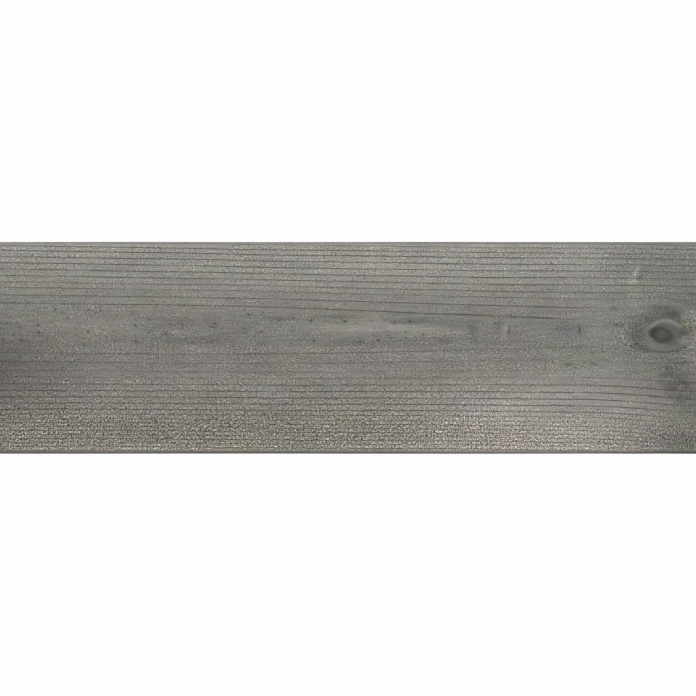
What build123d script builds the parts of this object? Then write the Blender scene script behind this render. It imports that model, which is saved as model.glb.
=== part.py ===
"""Softwood decking board: one planed plank with rounded long arrises and square-sawn ends.

Millimetres. X runs along the board, Y across its face and Z up through its thickness.
The origin is the middle of the underside, which lies flat on the joists.
"""

import os

from build123d import *

# Driving dimensions
board_length = 1800.0  # sold length, from one sawn end to the other
board_width = 145.0  # planed width across the face
board_thickness = 28.0  # planed thickness, from the underside to the walking face
walking_arris_radius = 4.0  # rounding of the two long arrises beside the walking face
underside_arris_radius = 4.0  # rounding of the two long arrises beside the underside

# The board: its planed section stands on the first sawn end and runs the whole length.
# A cutter then rounds each pair of long arrises. The ends stay square, as the saw leaves them.
with BuildPart() as decking_board:
    with BuildSketch(Plane.YZ.offset(-board_length / 2)):
        Rectangle(board_width, board_thickness, align=(Align.CENTER, Align.MIN))
    extrude(amount=board_length)
    walking_arrises = decking_board.edges().filter_by(Axis.X).group_by(Axis.Z)[-1]
    fillet(walking_arrises, radius=walking_arris_radius)
    underside_arrises = decking_board.edges().filter_by(Axis.X).group_by(Axis.Z)[0]
    fillet(underside_arrises, radius=underside_arris_radius)

decking_board.part.label = "decking_board"

os.makedirs("parts", exist_ok=True)
export_step(decking_board.part, "parts/decking_board.step")
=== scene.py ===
# %% [markdown]
# # Dressing a decking board
#
# The object is one plank of fast-grown softwood: sawn, planed on four sides and stained a thin grey.
# A packed model already fixes its size and place. This lesson grows the wood inside that size, as a tree
# does: yearly rings round the pith, a knot wherever a branch left the stem, and last the flecks and
# stains of a finished face. The same growth rules drive the colour and the relief, so the two agree.

# %% Load the packed board
import math
from types import SimpleNamespace

import bpy
import numpy as np
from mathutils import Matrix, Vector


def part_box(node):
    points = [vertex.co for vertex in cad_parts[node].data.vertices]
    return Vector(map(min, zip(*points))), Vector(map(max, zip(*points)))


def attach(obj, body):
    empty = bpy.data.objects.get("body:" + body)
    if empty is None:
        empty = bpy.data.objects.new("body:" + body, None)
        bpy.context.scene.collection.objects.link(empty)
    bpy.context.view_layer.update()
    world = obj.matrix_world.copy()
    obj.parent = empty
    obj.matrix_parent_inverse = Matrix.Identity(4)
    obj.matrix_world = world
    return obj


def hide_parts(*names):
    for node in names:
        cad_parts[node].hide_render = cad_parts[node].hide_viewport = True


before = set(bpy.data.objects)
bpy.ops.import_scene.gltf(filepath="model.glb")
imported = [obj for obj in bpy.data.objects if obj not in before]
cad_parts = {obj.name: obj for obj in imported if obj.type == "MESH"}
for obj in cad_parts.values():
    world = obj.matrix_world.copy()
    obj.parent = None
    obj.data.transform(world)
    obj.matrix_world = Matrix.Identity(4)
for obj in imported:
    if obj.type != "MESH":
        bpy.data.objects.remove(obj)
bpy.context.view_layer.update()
lowest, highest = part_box("decking_board")

MM = 0.001
LENGTH = (highest.x - lowest.x) / MM
WIDTH = (highest.y - lowest.y) / MM
THICKNESS = (highest.z - lowest.z) / MM
ARRIS = 4.0
print(f"board {LENGTH:.1f} x {WIDTH:.1f} x {THICKNESS:.1f} mm, arrises rounded to {ARRIS} mm")

# %% [markdown]
# ## The camera
#
# The picture looks straight down on the walking face, and the board runs out of it on both sides. A camera
# could be orthographic, but a long lens far away looks the same and can still be walked round the board.
# Its height follows from the width of deck that the picture takes in.

# %% Camera straight above the walking face
scene = bpy.context.scene
scene.view_settings.view_transform = "Standard"

FACE_PIXELS = 212
PICTURE_PIXELS = 696
PICTURE_WIDTH = WIDTH * PICTURE_PIXELS / FACE_PIXELS
LENS = 100.0
SENSOR = 36.0

camera_data = bpy.data.cameras.new("camera")
camera_data.lens = LENS
camera_data.sensor_width = SENSOR
camera = bpy.data.objects.new("camera", camera_data)
camera_height = PICTURE_WIDTH * LENS / SENSOR + THICKNESS - ARRIS
camera.location = (0.0, -0.1 * MM, camera_height * MM)
scene.collection.objects.link(camera)
scene.camera = camera
print(f"the picture takes in {PICTURE_WIDTH:.0f} mm of the board from {camera_height:.0f} mm up")

# %% [markdown]
# ## Wires: node maths as plain expressions
#
# Wood is a formula, and a formula is easier to read as Python than as a drawing of nodes. A wire stands for
# one socket. Sums and products of wires add Math nodes to the tree that the wire belongs to, and `node`
# adds any other kind. The same functions then work in a material and in a Geometry Nodes tree.

# %% The wire class


class Wire:
    """One output socket of a node tree, for use in expressions."""

    def __init__(self, socket):
        self.socket = socket
        self.tree = socket.id_data

    def node(self, kind, inputs, output=0, points=(), **settings):
        """Adds a node to this wire's tree: settings first, then the values or links of its sockets."""
        made = self.tree.nodes.new(kind)
        for name, value in settings.items():
            setattr(made, name, value)
        if points:
            shape_curve(made.mapping, points)
        for place, value in inputs.items():
            if isinstance(value, Wire):
                self.tree.links.new(value.socket, made.inputs[place])
            else:
                made.inputs[place].default_value = value
        return Wire(made.outputs[output])

    def math(self, operation, *values):
        return self.node("ShaderNodeMath", dict(enumerate(values)), operation=operation)

    def vector(self, operation, *values):
        return self.node("ShaderNodeVectorMath", dict(enumerate(values)), operation=operation)

    def __add__(self, other):
        return self.math("ADD", self, other)

    def __sub__(self, other):
        return self.math("SUBTRACT", self, other)

    def __rsub__(self, other):
        return self.math("SUBTRACT", other, self)

    def __mul__(self, other):
        return self.math("MULTIPLY", self, other)

    def __truediv__(self, other):
        return self.math("DIVIDE", self, other)

    def __abs__(self):
        return self.math("ABSOLUTE", self)

    __radd__ = __add__
    __rmul__ = __mul__


def shape_curve(mapping, points):
    """Gives a curve node straight runs through the points."""
    curve = mapping.curves[0]
    while len(curve.points) < len(points):
        curve.points.new(0.5, 0.5)
    for knob, place in zip(curve.points, points):
        knob.location = place
        knob.handle_type = "VECTOR"
    mapping.update()


print("wires know", len([name for name in vars(Wire) if name.startswith("__")]), "special methods")

# %% [markdown]
# ## Small helpers for soft steps, bells and noise
#
# Nearly every mark on wood is an eased step, a bell-shaped bump or a noise stretched along the grain.
# These helpers keep such marks to one line each, with all lengths in millimetres.

# %% Helpers


def smooth(value, start, end):
    """An eased step from 0 at start to 1 at end. The start may lie above the end."""
    inputs = {0: value, 1: start, 2: end, 3: 0.0, 4: 1.0}
    return value.node("ShaderNodeMapRange", inputs, interpolation_type="SMOOTHSTEP", clamp=False)


def bell(value, width):
    """A bump that is 1 at zero and has faded to a third at the width."""
    share = value / width
    return share.math("EXPONENT", share * share * -1.0)


def point_at(x, y, z):
    """A point from three wires or numbers, the first of them a wire."""
    return x.node("ShaderNodeCombineXYZ", {0: x, 1: y, 2: z})


def parts_of(vector):
    """The three numbers of a point or a colour."""
    first = vector.node("ShaderNodeSeparateXYZ", {0: vector})
    return [Wire(socket) for socket in first.socket.node.outputs]


def noise(point, detail=2.0, roughness=0.5, output=0):
    """Noise that changes about once in each unit of the point."""
    inputs = {"Vector": point, "Scale": 1.0, "Detail": detail, "Roughness": roughness}
    return point.node("ShaderNodeTexNoise", inputs, output)


def chance(number):
    """A fixed random share for each whole number."""
    return number.node("ShaderNodeTexWhiteNoise", {"W": number}, noise_dimensions="1D")


def length_of(a, b):
    """The long side of a right triangle."""
    return a.math("SQRT", a * a + b * b)


print("helpers ready: soft steps, bells, noise and chance")

# %% [markdown]
# ## The pith
#
# This board was sawn from the heart of a young stem, so the pith runs inside it, just under the walking
# face. It wanders: it drifts across the board and dips as it nears a knot. On the face the rings are
# therefore straight lines either side of a calm middle band, and on the sawn ends they are whole circles.

# %% Where the pith runs
PITH_MIDDLE = 11.4
PITH_DRIFT = -0.0099
PITH_NEAREST = 10.0
PITH_DIP = 8.0
PITH_WAVE = 906.0
KNOT_X = 215.0


def find_pith(x, y, z):
    """The offsets of a point from the pith, across the board and up."""
    across = y - (x * PITH_DRIFT + PITH_MIDDLE)
    turn = (x - KNOT_X) * (2.0 * math.pi / PITH_WAVE)
    wave = turn.math("COSINE", turn) * 0.5 + 0.5
    depth = wave.math("POWER", wave, 1.5) * PITH_DIP + PITH_NEAREST
    up = z - (THICKNESS - depth)
    return across, up


print(f"pith {PITH_NEAREST:.0f} to {PITH_NEAREST + PITH_DIP:.0f} mm below the walking face")

# %% [markdown]
# ## Whorls
#
# A young conifer puts out one whorl of branches a year, so knots come at nearly even steps along a board.
# Folding the length about the step gives every whorl the same local measure, and one set of nodes draws
# them all. The step is uneven for the outer whorls, as growth is.

# %% Distance to the nearest whorl
WHORL_STEP = 545.0
WHORL_UNEVEN = 30.0


def find_whorl(x):
    """The distance along the board from the nearest whorl, and that whorl's number."""
    place = (x - KNOT_X) / WHORL_STEP
    number = place.math("ROUND", place)
    shift = number * (number + 1.0) * WHORL_UNEVEN
    return x - KNOT_X - number * WHORL_STEP - shift, number


print("whorls near", [round(KNOT_X + k * WHORL_STEP + k * (k + 1) * WHORL_UNEVEN) for k in (-2, -1, 0, 1)])

# %% [markdown]
# ## Yearly rings
#
# Each year adds a ring: pale, soft earlywood first and a thin dark line of latewood at its outside. Rings
# are wide near the pith and narrow further out, which a curve of ring count against distance states.
# A stem swells round its branches, so there the rings are pushed outwards and close up into an eye.

# %% Ring count and latewood
REACH = 100.0
RING_TOTAL = 30.0
RING_AGES = [
    (0.0, 0.4),
    (14.0, 1.9),
    (19.6, 2.9),
    (29.8, 4.9),
    (33.5, 5.88),
    (54.5, 10.88),
    (60.9, 12.85),
    (REACH, 27.6),
]
WIDEST_RING = 10.0
OFF_CENTRE = 1.35
EYE_SWELL = 3.4
LOWER_SWELL = 3.2
STEM_SWELL = 1.1


def swell_at_whorl(along, across, radius):
    """How far the rings are pushed out of their circles beside a whorl."""
    eye = bell(along + 7.0, 26.0) * bell(across - 1.5, 22.0) * EYE_SWELL
    lower = bell(along - 22.0, 40.0) * smooth(across, -14.0, -44.0) * LOWER_SWELL
    stem = bell(along + 10.0, 130.0) * smooth(radius, 28.0, 48.0) * STEM_SWELL
    return eye + lower + stem


def count_rings(x, y, z, along, across, up):
    """The radius in the stem, how many rings lie inside a point, and how wide its own ring is."""
    radius = length_of(across, up)
    radius = radius + smooth(radius, 15.0, 40.0) * (across / (radius + 0.01)) * OFF_CENTRE
    ripple = noise(point_at(x / 110.0, y / 34.0, z / 34.0), 2.0) - 0.5
    radius = radius + ripple * 1.6 - swell_at_whorl(along, across, radius)
    points = [(distance / REACH, count / RING_TOTAL) for distance, count in RING_AGES]
    age = radius.node("ShaderNodeFloatCurve", {1: radius / REACH}, points=points)
    steps = zip(RING_AGES, RING_AGES[1:])
    widths = [((near + far) / 2.0, (far - near) / (older - younger)) for (near, younger), (far, older) in steps]
    points = [(distance / REACH, width / WIDEST_RING) for distance, width in widths]
    width = radius.node("ShaderNodeFloatCurve", {1: radius / REACH}, points=points)
    return radius, age * RING_TOTAL, width * WIDEST_RING


print(f"{RING_AGES[-1][1]:.0f} rings within {REACH:.0f} mm of the pith")

# %% [markdown]
# ## Branches
#
# A branch starts at the pith and thickens on its way out, leaning along the stem. Measured from its own axis
# and scaled to its size at the face, every cut through it looks alike, so a knot is painted only once, in
# millimetres on that face. One branch goes up to the walking face and a thinner one to the underside.

# %% The place in a branch
BRANCH_LEAN = 0.5
BRANCH_STRETCH = 1.4
UPPER_HEIGHT = 17.8
UNDER_HEIGHT = 10.0
UNDER_SHIFT = -46.0
UNDER_ASIDE = -9.0
UNDER_THINNER = 1.25


def branch_place(along, across, height, full_height):
    """How far a point lies along and across from a branch's axis, in millimetres on the face it reaches."""
    rise = smooth(height, 0.0, full_height) * 0.85 + 0.15
    offset = along + (full_height - height) * BRANCH_LEAN
    return offset / rise, across / rise


def grow_branches(x, y, z, along, across, up):
    """The gently bent place in the nearer branch of a whorl, and the rounded distance from its axis."""
    upper = branch_place(along, across, up, UPPER_HEIGHT)
    lower = branch_place(along - UNDER_SHIFT, across - UNDER_ASIDE, up * -1.0, UNDER_HEIGHT)
    is_upper = up.math("GREATER_THAN", up, 0.0)
    thinner = (1.0 - is_upper) * UNDER_THINNER
    bend = parts_of(noise(point_at(x / 9.0, y / 6.0, z / 9.0), 2.0, 0.5, 1))
    forward = upper[0] * is_upper + lower[0] * thinner + (bend[0] - 0.5) * 2.4
    sideways = upper[1] * is_upper + lower[1] * thinner + (bend[1] - 0.5) * 2.0
    return point_at(forward, sideways, 0.0), length_of(forward / BRANCH_STRETCH, sideways)


print("each whorl sends one branch up and one down")

# %% [markdown]
# ## The whole stem
#
# Both the material and the relief ask the same question: what wood is at this point? This function puts
# the answer together once. It takes a position in metres, as Blender gives it, and works in millimetres.

# %% What wood is at a point


def grow_wood(position):
    """The named measures of the wood at a position."""
    scaled = position.node("ShaderNodeVectorMath", {0: position, 3: 1.0 / MM}, operation="SCALE")
    x, y, z = parts_of(scaled)
    across, up = find_pith(x, y, z)
    along, whorl = find_whorl(x)
    radius, age, width = count_rings(x, y, z, along, across, up)
    ring = age.math("FLOOR", age)
    branch, knot = grow_branches(x, y, z, along, across, up)
    return SimpleNamespace(
        place=scaled, x=x, y=y, z=z, across=across, up=up, along=along, whorl=whorl,
        radius=radius, age=age, ring=ring, to_next=(ring + 1.0 - age) * width, branch=branch, knot=knot,
    )


print("the stem is described by", grow_wood.__name__)

# %% [markdown]
# ## The planed blank and its relief
#
# The shape follows a rule, so a Geometry Nodes tree makes it: a fine box, its rows spread so that the
# arrises have enough of them, its long corners rounded, and then the relief. Planing leaves the hard
# latewood and the knots level, and the softer earlywood a tenth of a millimetre lower. The underside is
# hidden, so two of every three rows there are merged away.

# %% The tree that makes the board
ROWS_ALONG = 327
ROWS_ARRIS = 6
ROWS_FACE = 168
ROWS_SIDE_ARRIS = 5
ROWS_SIDE = 6
UNDERSIDE_STEP = 3
SIZES = {
    "Length": LENGTH * MM,
    "Width": WIDTH * MM,
    "Thickness": THICKNESS * MM,
    "Arris radius": ARRIS * MM,
    "Earlywood depth": 0.10 * MM,
    "Knot edge depth": 0.10 * MM,
    "Unevenness": 0.06 * MM,
}


def spread_rows(share, size, radius, corner_rows, middle_rows):
    """Turns an even share of a side into a place on it, with rows of their own for both rounded corners."""
    row = share * (2 * corner_rows + middle_rows)
    first = row.node("ShaderNodeClamp", {0: row / corner_rows})
    middle = row.node("ShaderNodeClamp", {0: (row - corner_rows) / middle_rows})
    last = row.node("ShaderNodeClamp", {0: (row - corner_rows - middle_rows) / corner_rows})
    return first * radius + middle * (size - radius * 2.0) + last * radius


def beyond(value, limit):
    """How far a value is outside plus or minus the limit, with its sign."""
    inside = value.math("MAXIMUM", value.math("MINIMUM", value, limit), limit * -1.0)
    return value - inside


def move(mesh, position):
    return mesh.node("GeometryNodeSetPosition", {"Geometry": mesh, "Position": position})


def round_arrises(mesh, place, size):
    """Pulls the square corners of every section onto quarter circles."""
    x, y, z = parts_of(place)
    half = size["Thickness"] / 2.0
    side = beyond(y, size["Width"] / 2.0 - size["Arris radius"])
    height = beyond(z - half, half - size["Arris radius"])
    reach = side.math("MAXIMUM", abs(side), abs(height))
    shrink = reach / (length_of(side, height) + 1e-9)
    keep = 1.0 - shrink
    return move(mesh, point_at(x, y - side * keep, z - height * keep))


def thin_underside(mesh, place, size):
    """Brings the middle rows of the underside together in threes."""
    x, y, z = parts_of(place)
    flat = size["Width"] / 2.0 - size["Arris radius"]
    gap = flat * (2.0 * UNDERSIDE_STEP / ROWS_FACE)
    step = (y + flat) / gap
    snapped = step.math("ROUND", step) * gap - flat
    low = z.math("LESS_THAN", z, 1e-6) * y.math("LESS_THAN", abs(y), flat)
    moved = mesh.node(
        "GeometryNodeSetPosition",
        {"Geometry": mesh, "Selection": low, "Position": point_at(x, snapped, z)},
    )
    return moved.node("GeometryNodeMergeByDistance", {"Geometry": moved, "Distance": 1e-6})


def cut_relief(mesh, wood, size):
    """Lowers the earlywood, the seam round each knot and a slow unevenness, all of it inwards."""
    wave = (wood.age - 0.9) * (2.0 * math.pi)
    soft = 0.5 - wave.math("COSINE", wave) * 0.5
    in_knot = smooth(wood.knot, 8.0, 5.0)
    earlywood = soft * (1.0 - in_knot) * smooth(wood.radius, 8.0, 22.0) * size["Earlywood depth"]
    seam = bell(wood.knot - 6.2, 1.2) * size["Knot edge depth"]
    hollow = noise(point_at(wood.x / 60.0, wood.y / 16.0, wood.z / 16.0), 2.0) * size["Unevenness"]
    normal = Wire(mesh.tree.nodes.new("GeometryNodeInputNormal").outputs[0])
    depth = (earlywood + seam + hollow) * -1.0
    offset = normal.node("ShaderNodeVectorMath", {0: normal, 3: depth}, operation="SCALE")
    return mesh.node("GeometryNodeSetPosition", {"Geometry": mesh, "Offset": offset})


def build_board_tree(finish):
    """The whole tree, from a box to the finished board."""
    tree = bpy.data.node_groups.new("planed_board", "GeometryNodeTree")
    tree.interface.new_socket("Board", in_out="OUTPUT", socket_type="NodeSocketGeometry")
    for name in SIZES:
        tree.interface.new_socket(name, in_out="INPUT", socket_type="NodeSocketFloat")
    entry = tree.nodes.new("NodeGroupInput")
    size = {name: Wire(entry.outputs[name]) for name in SIZES}
    place = Wire(tree.nodes.new("GeometryNodeInputPosition").outputs[0])

    counts = {
        "Size": (1.0, 1.0, 1.0),
        "Vertices X": ROWS_ALONG + 1,
        "Vertices Y": 2 * ROWS_ARRIS + ROWS_FACE + 1,
        "Vertices Z": 2 * ROWS_SIDE_ARRIS + ROWS_SIDE + 1,
    }
    mesh = place.node("GeometryNodeMeshCube", counts)
    x, y, z = parts_of(place)
    wide = spread_rows(y + 0.5, size["Width"], size["Arris radius"], ROWS_ARRIS, ROWS_FACE)
    high = spread_rows(z + 0.5, size["Thickness"], size["Arris radius"], ROWS_SIDE_ARRIS, ROWS_SIDE)
    mesh = move(mesh, point_at(x * size["Length"], wide - size["Width"] / 2.0, high))
    mesh = thin_underside(mesh, place, size)
    mesh = round_arrises(mesh, place, size)
    mesh = cut_relief(mesh, grow_wood(place), size)
    mesh = mesh.node("GeometryNodeSetShadeSmooth", {"Geometry": mesh})
    mesh = mesh.node("GeometryNodeRealizeInstances", {"Geometry": mesh})
    mesh = mesh.node("GeometryNodeSetMaterial", {"Geometry": mesh, "Material": finish})
    leave = tree.nodes.new("NodeGroupOutput")
    tree.links.new(mesh.socket, leave.inputs[0])
    return tree


print("rows round the board:", 2 * (2 * ROWS_ARRIS + ROWS_FACE + 2 * ROWS_SIDE_ARRIS + ROWS_SIDE))

# %% [markdown]
# ## The grey stain on the wood
#
# The finish is a thin grey stain. It lets the rings show, takes darker in the latewood and in the knots,
# and paler on the fuzzy fibres that a fine saw raised. The colour is built in that order: earlywood and
# latewood, the calm core, flecks, knots, and last a few soft marks where this board is lighter or darker.

# %% Latewood lines
EARLYWOOD = (0.262, 0.252, 0.229)
LATEWOOD = (0.058, 0.055, 0.048)


def mix_colour(share, first, second):
    """A blend of two colours. Colours travel as vectors, so that no node has to convert them."""
    inputs = {0: share, 4: first, 5: second}
    return share.node("ShaderNodeMix", inputs, 1, data_type="VECTOR", clamp_factor=False)


def tint(colour, strength, change):
    """Multiplies a colour by 1 + change, as far as the strength says."""
    changed = colour.vector("MULTIPLY", colour, tuple(1.0 + part for part in change))
    return mix_colour(strength, colour, changed)


def shade(colour, amount):
    """Makes a colour lighter or darker."""
    return colour.node("ShaderNodeVectorMath", {0: colour, 3: amount}, operation="SCALE")


def oval(place, x, y, half_length, half_width, turn=0.0, z=0.0, half_height=1.0):
    """The distance from the middle of an oval turned by some degrees, 1 being its outline."""
    inputs = {
        0: place,
        1: (x, y, z),
        2: (0.0, 0.0, math.radians(turn)),
        3: (half_length, half_width, half_height),
    }
    local = place.node("ShaderNodeMapping", inputs, vector_type="TEXTURE")
    return local.node("ShaderNodeVectorMath", {0: local}, 1, operation="LENGTH")


def soft_mark(wood, x, y, half_length, half_width, turn, full=0.0):
    """1 in the middle of a soft oval in the walking face, 0 outside it. Within the full share it stays 1."""
    distance = oval(wood.place, x, y, half_length, half_width, turn, THICKNESS, 0.9 * THICKNESS)
    return smooth(distance, 1.0, full)


LINE_WIDTH = 1.0
FAINT_LINES = {
    "pale_field": (155.0, -9.0, 115.0, 19.0, 0.0, 0.0, 0.85),
    "far_corner": (238.0, -54.0, 50.0, 34.0, 0.0, 0.2, 0.7),
    "over_the_knot": (194.0, 21.0, 62.0, 13.0, 3.0, 0.5, 1.0),
    "top_corner": (225.0, 56.0, 120.0, 40.0, 0.0, 0.2, 0.3),
}


def latewood_lines(wood):
    """The dark line at the outside of each ring, with its own strength in each year and along its length."""
    line = smooth(wood.to_next, LINE_WIDTH, 0.5 * LINE_WIDTH) * smooth(wood.to_next, 0.0, 0.35 * LINE_WIDTH)
    yearly = chance(wood.ring) * 0.35 + 0.65
    along = noise(point_at(wood.x / 30.0, wood.ring * 7.7, 0.0), 3.0, 0.7)
    broken = smooth(along, 0.28, 0.58) * 0.55 + 0.45
    first_years = smooth(wood.radius, 15.0, 19.0) * 0.8 + 0.2
    upper = smooth(wood.across, -5.0, 5.0)
    grown = smooth(wood.radius, 35.0, 41.0) * (0.6 - upper * 0.36) + upper * 0.36 + 0.54
    strength = yearly * broken * first_years * grown * (1.0 - smooth(wood.across, -48.0, -62.0) * 0.2)
    on_side = smooth(abs(wood.y), WIDTH / 2.0 - 0.8 * ARRIS, WIDTH / 2.0 - 0.2 * ARRIS)
    strength = strength * (1.0 - on_side * 0.75)
    for x, y, half_length, half_width, turn, full, loss in FAINT_LINES.values():
        strength = strength * (1.0 - soft_mark(wood, x, y, half_length, half_width, turn, full) * loss)
    return line * strength


print("earlywood", EARLYWOOD, "latewood", LATEWOOD)

# %% [markdown]
# ## Flecks, fibres and needle traces
#
# A fine saw tears soft earlywood into tiny pale flecks with dark gaps, a pixel or two in the picture. Near the
# pith they are short dashes in loose patches, and in the narrow outer rings they crowd into upright ticks.
# Voronoi cells suit both, because their middles never crowd: one set of them is pale and another dark.
# Fibres run through all of it, and in the calm core the traces of the first needles are dark pin pricks.

# %% Flecks and traces
FLECK_STEP = (1.3, 0.9)
TICK_STEP = (1.1, 1.25)
DARK_SHIFT = (7.3, 3.9, 0.0)
BUSY_PATCHES = {
    "before_the_knot": (196.0, 9.0, 20.0, 13.0, 0.35),
    "behind_the_knot": (232.5, 10.0, 10.0, 14.0, 0.9),
    "pale_field": (195.0, -46.0, 130.0, 36.0, -0.55),
    "over_the_core": (25.0, 26.0, 105.0, 13.0, -0.22),
    "flame": (14.0, 13.0, 62.0, 6.5, -0.4),
}


def to_nearest_dot(place):
    """The distance from the nearest of many dots, spread unevenly but never crowded, one to each unit."""
    inputs = {"Vector": place, "Scale": 1.0, "Randomness": 0.9}
    return place.node("ShaderNodeTexVoronoi", inputs, voronoi_dimensions="2D")


def speckle(wood, step_along, step_across):
    """Pale dots and dark dots, about zero. The height is mixed in, so that no side of the board has streaks."""
    place = point_at((wood.x + wood.z) / step_along, (wood.y + wood.z * 0.8) / step_across, 0.0)
    return (to_nearest_dot(place.vector("ADD", place, DARK_SHIFT)) - to_nearest_dot(place)) * 1.16


def saw_marks(wood):
    """Dashes in loose patches towards the pith, and ticks towards the outer edge."""
    patch = smooth(noise(point_at(wood.x / 12.0, wood.y / 3.6, wood.z / 3.6), 2.0), 0.36, 0.64)
    busy = patch * 0.5 + smooth(wood.across, 28.0, 50.0) * 0.2 + smooth(wood.across, 4.0, -14.0) * 0.2 + 0.4
    ticked = smooth(wood.across, -22.0, -38.0)
    crowd = patch * 0.4 + smooth(wood.across, -45.0, -66.0) * 0.9 + 0.8
    for x, y, half_length, half_width, more in BUSY_PATCHES.values():
        extra = soft_mark(wood, x, y, half_length, half_width, 0.0, 0.4) * more
        busy = busy + extra
        crowd = crowd + extra
    dashes = speckle(wood, *FLECK_STEP) * busy.math("MAXIMUM", busy, 0.1) * (1.0 - ticked)
    return dashes + speckle(wood, *TICK_STEP) * crowd * ticked


def fibres(wood):
    """Fine streaks along the grain, short ones and long ones, about zero."""
    short = noise(point_at(wood.x / 4.0, wood.y * 1.9, wood.z * 1.9), 1.0)
    long = noise(point_at(wood.x / 30.0, wood.y * 1.3, wood.z * 1.3), 2.0)
    return short * 0.7 + long - 0.85


TRACE_STEP = (11.0, 7.5, 28.0)
TRACE_SIZE = 0.085


def needle_traces(wood):
    """Dark pin pricks in the core."""
    place = wood.place.vector("DIVIDE", wood.place, TRACE_STEP)
    distance = to_nearest_dot(place)
    luck = parts_of(Wire(distance.socket.node.outputs["Color"]))[0]
    core = smooth(wood.radius, 18.0, 16.0)
    clear = smooth(abs(wood.along + 40.0), 90.0, 130.0)
    pricks = smooth(distance, TRACE_SIZE, TRACE_SIZE * 0.4) + bell(distance, 3.0 * TRACE_SIZE) * 0.2
    return pricks * core * clear * smooth(luck, 0.2, 1.0)


print(f"needle traces about every {TRACE_STEP[0]:.0f} mm")

# %% [markdown]
# ## Knots
#
# A knot is a branch seen end on. Its cracked heart is a little paler, the wood round it is the darkest on the
# board, and outside the branch bent stem wood closes round it like an eye: a pale arch over it, a dark
# crescent under it and a shadow where the rings crowd. Each is an oval or a part of one, laid on the last.

# %% Knot colours
EYE_GREY = (0.149, 0.150, 0.135)
BRANCH_GREY = (0.112, 0.109, 0.097)
CORE_DARK = (0.060, 0.057, 0.048)
HEART_GREY = (0.132, 0.126, 0.106)
ARCH_PALE = (0.250, 0.247, 0.222)
KNOT_MARKS = {
    "dark_side": (-6.3, 1.2, 4.2, 5.6, -20.0, (-0.30, -0.30, -0.30)),
    "fold_under": (-7.6, -6.6, 5.0, 2.4, -35.0, (0.20, 0.10, 0.14)),
    "shade_under": (-15.5, -9.4, 11.0, 4.2, -8.0, (-0.24, -0.20, -0.22)),
    "shade_before": (-18.5, 0.5, 9.0, 13.0, 0.0, (-0.28, -0.27, -0.28)),
    "shade_over": (6.4, 13.6, 8.0, 3.0, -4.0, (-0.13, -0.13, -0.12)),
    "shade_beyond": (14.2, 1.8, 5.2, 3.8, 0.0, (-0.38, -0.38, -0.40)),
    "pale_side": (11.6, -4.4, 5.4, 2.8, 15.0, (0.34, 0.35, 0.33)),
    "line_over": (-3.0, 18.6, 15.0, 2.2, 0.0, (-0.26, -0.25, -0.24)),
}


def paint_branch(colour, wood):
    """The eye, the branch in it, its dark core and its cracked heart."""
    forward = parts_of(wood.branch)[0]
    eye = oval(wood.branch, -3.6, -1.2, 17.6, 11.0, 3.0)
    folds = eye.math("COSINE", eye * (2.0 * math.pi * 4.5)) * smooth(eye, 0.4, 0.7) * smooth(forward, 0.0, -8.0)
    in_eye = smooth(eye, 1.2, 0.8)
    colour = mix_colour(in_eye * 0.75, colour, EYE_GREY)
    colour = shade(colour, 1.0 + folds * in_eye * 0.10)
    branch = smooth(oval(wood.branch, 2.2, -0.4, 11.6, 7.4, -15.0), 1.1, 0.8)
    colour = mix_colour(branch, colour, BRANCH_GREY)
    core = smooth(oval(wood.branch, -1.6, -0.2, 9.4, 5.8, -15.0), 1.1, 0.72)
    colour = mix_colour(core * 0.95, colour, CORE_DARK)
    cracks = smooth(noise(point_at(wood.x / 1.0, wood.y / 0.85, wood.z), 1.0), 0.48, 0.60)
    heart = smooth(oval(wood.branch, -1.6, 0.2, 4.6, 3.2), 1.1, 0.6)
    return mix_colour(heart * cracks, colour, HEART_GREY)


def paint_round_branch(colour, wood):
    """The pale arch over the branch, the shadow above it, the dark crescent below and a few soft shades."""
    forward, sideways = parts_of(wood.branch)[:2]
    for x, y, half_length, half_width, turn, change in KNOT_MARKS.values():
        mark = smooth(oval(wood.branch, x, y, half_length, half_width, turn), 1.0, 0.2)
        colour = tint(colour, mark, change)
    arch = oval(wood.branch, 1.4, -1.6, 13.4, 10.8)
    shadow = smooth(arch, 1.95, 1.6) * smooth(arch, 1.02, 1.2) * smooth(sideways, 5.0, 9.0)
    shadow = shadow * smooth(forward, -19.0, -11.0) * smooth(forward, 12.6, 9.6)
    shadow = shadow * (smooth(forward, -14.0, 9.0) * 0.2 + 0.7)
    colour = tint(colour, shadow, (-0.33, -0.31, -0.31))
    crescent = bell((oval(wood.branch, -2.5, 1.4, 23.5, 13.4) - 1.0) * 13.4, 0.9) * smooth(sideways, -5.0, -8.5)
    crescent = crescent * smooth(forward, -22.0, -10.0)
    colour = tint(colour, crescent, (-0.36, -0.33, -0.37))
    frayed = smooth(noise(point_at(wood.x / 2.2, wood.y / 1.2, wood.z), 1.0), 0.3, 0.6) * 0.5 + 0.5
    line = bell((arch - 1.0) * 11.0, 1.1) * smooth(sideways, 2.0, 7.0) * (1.0 - smooth(forward, 5.0, 13.0) * 0.55)
    line = line * (smooth(forward, -13.0, -4.0) * 0.7 + 0.3)
    return mix_colour(line * frayed * 0.95, colour, ARCH_PALE)


print("the darkest wood is", CORE_DARK, "and the arch over it", ARCH_PALE)
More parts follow.
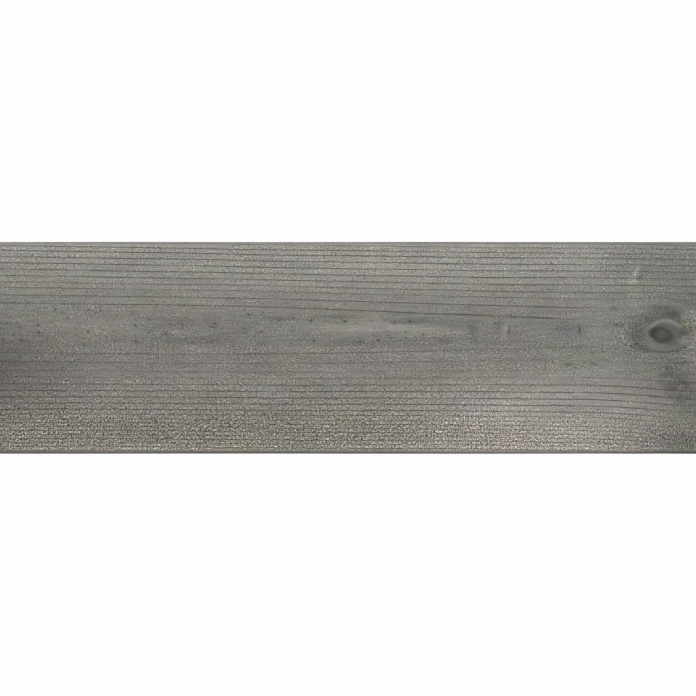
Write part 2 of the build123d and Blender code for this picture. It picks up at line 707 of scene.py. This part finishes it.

# %% [markdown]
# ## Soft marks
#
# No stain dries evenly. A few large soft ovals make this board's own lights and shadows: a grey end, a paler field
# under the knot, a pale flame along the pith. One of them is painted shadow, the dark side of a small nick. Each is a
# place, a size, a turn and a change of colour.

# %% Lights and shadows of this board
SOFT_MARKS = {
    "grey_end": (-250.0, -17.0, 108.0, 54.0, 0.0, (-0.45, -0.45, -0.44)),
    "pale_field": (138.0, -49.0, 130.0, 48.0, 0.0, (0.44, 0.42, 0.46)),
    "pale_top": (30.0, 50.0, 190.0, 24.0, 0.0, (0.09, 0.09, 0.09)),
    "grey_corner": (-122.0, -54.0, 170.0, 30.0, 0.0, (-0.13, -0.13, -0.13)),
    "grey_rim": (-210.0, -66.0, 100.0, 9.0, 0.0, (-0.09, -0.09, -0.08)),
    "dim_corner": (226.0, -66.0, 50.0, 15.0, 0.0, (-0.22, -0.21, -0.20)),
    "core_shade": (-88.0, 15.0, 80.0, 12.0, 0.0, (-0.12, -0.11, -0.10)),
    "needle_band": (-101.0, 5.0, 110.0, 6.0, 0.0, (-0.20, -0.19, -0.17)),
    "pale_dash": (-178.0, 13.5, 46.0, 3.4, 0.0, (0.16, 0.15, 0.13)),
    "flame": (12.0, 13.6, 46.0, 5.2, 0.0, (0.40, 0.40, 0.36)),
    "flame_tail": (52.0, 11.5, 36.0, 5.8, -4.0, (0.36, 0.37, 0.33)),
    "under_flame": (20.0, 3.0, 95.0, 6.0, 0.0, (-0.18, -0.17, -0.17)),
    "core_far": (100.0, 9.0, 80.0, 14.0, 0.0, (-0.13, -0.12, -0.10)),
    "under_core": (-100.0, -9.0, 170.0, 14.0, 0.0, (-0.10, -0.10, -0.09)),
    "over_knot": (214.0, 32.0, 28.0, 10.0, 0.0, (0.13, 0.15, 0.15)),
    "top_corner": (207.0, 62.0, 68.0, 28.0, 0.0, (-0.15, -0.15, -0.13)),
    "lined_field": (158.0, -40.5, 38.0, 15.0, 0.0, (-0.15, -0.15, -0.13)),
    "streak_left": (-9.0, 21.0, 24.0, 2.6, -1.0, (-0.22, -0.22, -0.20)),
    "streak_right": (46.0, 18.4, 34.0, 3.2, -2.0, (-0.27, -0.26, -0.23)),
    "streak_far": (-46.0, 20.5, 22.0, 2.6, 0.0, (-0.20, -0.20, -0.18)),
    "pale_right": (238.0, -3.5, 14.0, 18.0, 0.0, (0.38, 0.37, 0.33)),
    "pale_over": (235.5, 21.0, 10.0, 9.5, 0.0, (0.60, 0.65, 0.62)),
    "nick_pale": (196.5, 52.0, 6.5, 2.0, 60.0, (0.70, 0.68, 0.60)),
    # Painted shadow: the dark side of a small nick in the face, which the relief does not model.
    "painted_nick_shadow": (199.5, 48.4, 5.0, 1.8, 40.0, (-0.45, -0.45, -0.43)),
    "below_nick": (193.6, 46.0, 6.0, 3.6, 10.0, (0.40, 0.39, 0.30)),
    "under_nick": (194.0, 38.0, 5.5, 13.0, 0.0, (0.12, 0.12, 0.08)),
    "cool_corner": (215.0, 38.0, 130.0, 72.0, 0.0, (-0.022, 0.006, 0.010)),
    "cool_middle": (165.0, -3.0, 90.0, 38.0, 0.0, (-0.036, 0.002, -0.006)),
    "cool_rim": (232.0, -58.0, 80.0, 38.0, 0.0, (-0.036, 0.0, 0.006)),
    "pink": (189.0, 8.0, 20.0, 15.0, 0.0, (0.07, 0.01, 0.03)),
    "curl_low": (84.8, 12.0, 6.5, 13.0, 6.0, (-0.22, -0.21, -0.20)),
    "curl_middle": (102.0, 14.4, 5.0, 8.0, 0.0, (-0.22, -0.21, -0.20)),
    "curl_pale": (106.5, 9.5, 3.8, 12.0, -8.0, (0.28, 0.28, 0.24)),
    "curl_thin": (109.8, 11.6, 1.5, 6.0, -14.0, (-0.40, -0.40, -0.40)),
    "dusk": (149.0, 13.0, 20.0, 9.5, 0.0, (-0.22, -0.21, -0.17)),
    "blotch": (181.3, 26.7, 5.0, 3.0, 0.0, (-0.35, -0.34, -0.33)),
    "curl_high": (184.0, 15.6, 7.5, 2.2, -8.0, (-0.40, -0.40, -0.38)),
    "ripple_near": (150.4, -11.6, 6.0, 2.2, 4.0, (-0.35, -0.34, -0.33)),
    "ripple_far": (167.6, -11.3, 6.0, 2.0, -4.0, (-0.35, -0.34, -0.33)),
    "dash": (158.0, 12.3, 1.8, 5.6, 8.0, (-0.50, -0.50, -0.48)),
    "beside_dash": (172.0, 11.5, 16.0, 8.0, 0.0, (0.12, 0.12, 0.12)),
    "olive": (231.0, 14.5, 7.0, 9.0, 0.0, (0.0, 0.03, -0.18)),
    "brown": (238.0, 10.5, 8.0, 7.0, 0.0, (0.20, 0.12, 0.0)),
}


SMEAR = (225.0, -27.0, 29.0, 13.5, -60.0)


def add_soft_marks(colour, wood):
    """All the soft marks, and a mottled smear of resin that ran from the knot."""
    for x, y, half_length, half_width, turn, change in SOFT_MARKS.values():
        mark = soft_mark(wood, x, y, half_length, half_width, turn)
        colour = tint(colour, mark, change)
    mottled = smooth(noise(point_at(wood.x / 4.0, wood.y / 4.0, wood.z / 4.0), 2.0), 0.3, 0.6)
    smear = soft_mark(wood, *SMEAR, 0.3) * mottled
    return tint(colour, smear, (-0.37, -0.34, -0.33))


print(len(SOFT_MARKS), "soft marks")

# %% [markdown]
# ## The finished material
#
# All of it comes together here. The tone rises from the core to the outer wood and drops at each whorl, a slow noise
# tints patches warm, olive or blue-grey, and the sawn ends drink more stain. Painted shade darkens the outer part of
# both arrises, and a painted highlight runs where the walking face meets the near arris. Roughness follows the
# latewood, and the flecks also feed a bump, because they are too small to model.

# %% Material
END_SKIN = 0.8
EYE_GAMMA = 2.2


def stain_board():
    """The grey softwood, from the wood at each point."""
    material = bpy.data.materials.new("grey_stained_softwood")
    material.use_nodes = True
    nodes = material.node_tree.nodes
    shader = nodes["Principled BSDF"]
    wood = grow_wood(Wire(nodes.new("ShaderNodeTexCoord").outputs["Object"]))

    late = latewood_lines(wood)
    colour = mix_colour(late, EARLYWOOD, LATEWOOD)

    outer = smooth(wood.radius, 12.0, 72.0)
    cloud = noise(point_at(wood.x / 50.0, wood.y / 13.0, wood.z / 13.0), 3.0, 0.55) - 0.5
    figure = noise(point_at(wood.x / 9.0, wood.y / 2.6, wood.z / 2.6), 2.0) - 0.5
    light_side = smooth(wood.across, 5.0, 60.0)
    tone = outer * 0.16 - smooth(wood.across, -46.0, -66.0) * 0.05 + light_side * 0.20 + 0.82 + cloud * 0.30 + figure * 0.35 - bell(wood.along - 24.0, 44.0) * 0.25
    streaked = 0.65 - smooth(wood.radius, 16.0, 26.0) * 0.15 - smooth(wood.across, -30.0, -50.0) * 0.38
    tone = tone * (1.0 + fibres(wood) * streaked)
    colour = shade(colour, tone)

    patches = noise(point_at(wood.x / 28.0, wood.y / 12.0, wood.z / 12.0), 1.0, 0.5, 1)
    patches = patches.vector("SUBTRACT", patches, (0.5, 0.5, 0.5))
    patches = patches.vector("MULTIPLY_ADD", patches, (0.12, 0.10, 0.18), (1.0, 1.0, 1.0))
    colour = colour.vector("MULTIPLY", colour, patches)
    colour = tint(colour, smooth(wood.y, 8.0, -16.0), (0.012, -0.012, -0.016))
    colour = tint(colour, smooth(wood.y, -16.0, -70.0), (0.0, 0.0, -0.055))

    colour = paint_branch(colour, wood)
    colour = paint_round_branch(colour, wood)
    arris = smooth(abs(wood.y), WIDTH / 2.0 - 0.9 * ARRIS, WIDTH / 2.0 - 0.5 * ARRIS)
    calm = (1.0 - smooth(wood.knot, 12.0, 10.0) * 0.75) * (1.0 - arris * 0.8)
    rough = saw_marks(wood) * calm * (1.0 - late * 0.5)
    lightness = rough * 0.45 + 1.0
    colour = shade(colour, lightness.math("POWER", lightness, EYE_GAMMA))
    colour = add_soft_marks(colour, wood)
    traces = needle_traces(wood)
    colour = tint(colour, traces, (-0.82, -0.82, -0.82))

    # Painted highlight: a pale line where the walking face turns into the near arris, standing in for the light that
    # this edge catches.
    rim = bell(wood.y + (WIDTH / 2.0 - ARRIS), 2.4)
    colour = tint(colour, rim, (0.22, 0.22, 0.22))
    # Painted shade: both arrises are darkened towards their outer edge in the colour, on top of the shading that the
    # lights give.
    edge = smooth(abs(wood.y), WIDTH / 2.0 - 0.6 * ARRIS, WIDTH / 2.0 - 0.2 * ARRIS)
    colour = tint(colour, edge, (-0.27, -0.27, -0.26))
    end = smooth(abs(wood.x), LENGTH / 2.0 - END_SKIN, LENGTH / 2.0 - 0.2 * END_SKIN)
    colour = tint(colour, end, (-0.30, -0.31, -0.34))

    links = material.node_tree.links
    links.new(colour.socket, shader.inputs["Base Color"])
    roughness = 0.86 - late * 0.14 - smooth(wood.knot, 6.0, 4.0) * 0.12
    links.new(roughness.socket, shader.inputs["Roughness"])
    shader.inputs["Specular IOR Level"].default_value = 0.25

    height = rough + fibres(wood) * 0.5 + late * 0.4 - traces * 2.0
    bump = height.node("ShaderNodeBump", {"Strength": 0.35, "Distance": 0.12 * MM, "Height": height})
    links.new(bump.socket, shader.inputs["Normal"])
    return material


grey_softwood = stain_board()
print("material nodes:", len(grey_softwood.node_tree.nodes))

# %% [markdown]
# ## Make the board
#
# The tree is put on an empty mesh as a modifier, with its sizes set first. A small bevel takes the razor
# edge off the sawn ends. The evaluated result becomes a plain mesh, so nothing live is left for the export.

# %% Board mesh
END_BEVEL = 0.4


def make_board():
    """The finished board as one plain mesh object at the origin."""
    blank = bpy.data.objects.new("blank", bpy.data.meshes.new("blank"))
    scene.collection.objects.link(blank)
    tree = build_board_tree(grey_softwood)
    modifier = blank.modifiers.new("planed_board", "NODES")
    modifier.node_group = tree
    for item in tree.interface.items_tree:
        if item.in_out == "INPUT":
            modifier[item.identifier] = SIZES[item.name]
    bevel = blank.modifiers.new("end_bevel", "BEVEL")
    bevel.width = END_BEVEL * MM
    bevel.segments = 2
    bevel.limit_method = "ANGLE"
    bevel.angle_limit = math.radians(60.0)
    evaluated = blank.evaluated_get(bpy.context.evaluated_depsgraph_get())
    mesh = bpy.data.meshes.new_from_object(evaluated)
    mesh.name = "decking_board_face"
    mesh.materials.clear()
    mesh.materials.append(grey_softwood)
    mesh.polygons.foreach_set("material_index", np.zeros(len(mesh.polygons), np.int32))
    bpy.data.objects.remove(blank)
    board = bpy.data.objects.new("stained_board", mesh)
    scene.collection.objects.link(board)
    return board


board = make_board()
board.data.set_sharp_from_angle(angle=math.radians(40.0))
board.data.calc_loop_triangles()
print("triangles:", len(board.data.loop_triangles), "materials:", board.data.materials.keys())

# %% [markdown]
# ## A map for the finish
#
# Most other programs can't run these nodes, so an export bakes the finish into one square picture. An automatic
# layout would squeeze the whole length into the picture's width and blur the flecks. Here the walking face is
# cut in three strips laid one above the other, and the hidden faces share the room that is left.

# %% Lay the faces out on the map
MAP_NAME = "OFBake"
MAP_PIXELS = 1024
MAP_GAP = 6
STRIPS = 3
UNDERSIDE_ROOM = 110
SIDE_ROOM = 30


def read_mesh(items, name, width):
    """One property of all the items of a mesh, as rows of numbers."""
    values = np.empty(len(items) * width, np.float32)
    items.foreach_get(name, values)
    return values.reshape(-1, width)


def lay_out_map(mesh):
    """Gives every face its place on the map, in rows from the bottom up."""
    faces = np.repeat(np.arange(len(mesh.polygons)), read_mesh(mesh.polygons, "loop_total", 1)[:, 0].astype(int))
    normal = read_mesh(mesh.polygons, "normal", 3)
    strip = ((read_mesh(mesh.polygons, "center", 3)[:, 0] / MM + LENGTH / 2.0) // (LENGTH / STRIPS)).clip(0, STRIPS - 1)
    corner = np.empty(len(mesh.loops), np.int32)
    mesh.loops.foreach_get("vertex_index", corner)
    x, y, z = (read_mesh(mesh.vertices, "co", 3)[corner] / MM).T
    places = np.zeros((len(corner), 2), np.float32)
    room = MAP_PIXELS - 2 * MAP_GAP
    pixels_per_mm = room * STRIPS / LENGTH
    bottom = MAP_GAP

    def fill(chosen, across, across_from, up, up_from, scale, left=MAP_GAP):
        mine = chosen[faces]
        places[mine, 0] = left + (across[mine] - across_from) * scale[0]
        places[mine, 1] = bottom + (up[mine] - up_from) * scale[1]

    is_end = abs(normal[:, 0]) > 0.7
    is_face = ~is_end & (normal[:, 2] > 0.7)
    is_underside = ~is_end & (normal[:, 2] < -0.7)
    is_side = ~(is_end | is_face | is_underside)
    for number in range(STRIPS):
        start = number * LENGTH / STRIPS - LENGTH / 2.0
        fill(is_face & (strip == number), x, start, y, -WIDTH / 2.0, (pixels_per_mm, pixels_per_mm))
        bottom += WIDTH * pixels_per_mm + MAP_GAP
    fill(is_underside, x, -LENGTH / 2.0, y, -WIDTH / 2.0, (room / LENGTH, UNDERSIDE_ROOM / WIDTH))
    bottom += UNDERSIDE_ROOM + MAP_GAP
    for way in (-1.0, 1.0):
        fill(is_side & (normal[:, 1] * way > 0.0), x, -LENGTH / 2.0, z, 0.0, (room / LENGTH, SIDE_ROOM / THICKNESS))
        bottom += SIDE_ROOM + MAP_GAP
    for way in (-1.0, 1.0):
        left = MAP_GAP if way < 0.0 else MAP_PIXELS / 2.0
        fill(is_end & (normal[:, 0] * way > 0.0), y, -WIDTH / 2.0, z, 0.0, (pixels_per_mm, pixels_per_mm), left)
    used = bottom + THICKNESS * pixels_per_mm
    layer = mesh.uv_layers.new(name=MAP_NAME)
    layer.uv.foreach_set("vector", (places / MAP_PIXELS).ravel())
    return pixels_per_mm, used


fineness, rows_used = lay_out_map(board.data)
print(f"map: {fineness:.2f} pixels to a millimetre of the walking face, {rows_used:.0f} of {MAP_PIXELS} rows used")

# %% [markdown]
# ## Floor and light
#
# The picture is a plain product shot: a white ground and one broad soft light, a little from the far side, so
# that the near arris is the darker one. A wide sun gives the whole length the same light. The floor glows
# white to the camera and still takes a part of the board's shadow.

# %% Floor, sun and sky
SUN_TILT = 25.0
SUN_SHARE = 0.62
FLOOR_SIZE = 30.0


def make_floor():
    """A large pale floor, mostly white to the camera, with a faint shadow."""
    corner = FLOOR_SIZE / 2.0
    mesh = bpy.data.meshes.new("floor")
    corners = [(-corner, -corner, 0.0), (corner, -corner, 0.0), (corner, corner, 0.0), (-corner, corner, 0.0)]
    mesh.from_pydata(corners, [], [(0, 1, 2, 3)])
    floor = bpy.data.objects.new("floor", mesh)
    floor.location.z = -0.0005
    scene.collection.objects.link(floor)
    material = bpy.data.materials.new("white_ground")
    material.use_nodes = True
    nodes = material.node_tree.nodes
    nodes.remove(nodes["Principled BSDF"])
    path = nodes.new("ShaderNodeLightPath")
    seen = Wire(path.outputs["Is Camera Ray"])
    seen = seen.math("MAXIMUM", seen, Wire(path.outputs["Is Glossy Ray"]))
    matt = seen.node("ShaderNodeBsdfDiffuse", {"Color": (0.8, 0.8, 0.8, 1.0)})
    glow = seen.node("ShaderNodeEmission", {"Color": (1.0, 1.0, 1.0, 1.0), "Strength": 1.0})
    surface = seen.node("ShaderNodeMixShader", {0: seen * 0.975, 1: matt, 2: glow})
    material.node_tree.links.new(surface.socket, nodes["Material Output"].inputs["Surface"])
    mesh.materials.append(material)
    return floor


def make_sun():
    """One broad soft light."""
    sun_data = bpy.data.lights.new("softbox", "SUN")
    sun_data.energy = SUN_SHARE * math.pi / math.cos(math.radians(SUN_TILT))
    sun_data.angle = math.radians(50.0)
    sun = bpy.data.objects.new("softbox", sun_data)
    sun.rotation_euler = (math.radians(-SUN_TILT), 0.0, 0.0)
    scene.collection.objects.link(sun)


def make_sky():
    """An even sky for the rest of the light, which the camera sees as white."""
    world = bpy.data.worlds.new("studio")
    scene.world = world
    world.use_nodes = True
    nodes = world.node_tree.nodes
    path = nodes.new("ShaderNodeLightPath")
    seen = Wire(path.outputs["Is Camera Ray"])
    strength = seen * SUN_SHARE + (1.0 - SUN_SHARE)
    world.node_tree.links.new(strength.socket, nodes["Background"].inputs["Strength"])
    nodes["Background"].inputs["Color"].default_value = (1.0, 1.0, 1.0, 1.0)


floor = make_floor()
make_sun()
make_sky()
print(f"sun gives {SUN_SHARE:.0%} of the light on the face")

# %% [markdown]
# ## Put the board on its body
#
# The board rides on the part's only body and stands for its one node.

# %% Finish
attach(board, "root")
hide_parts("decking_board")
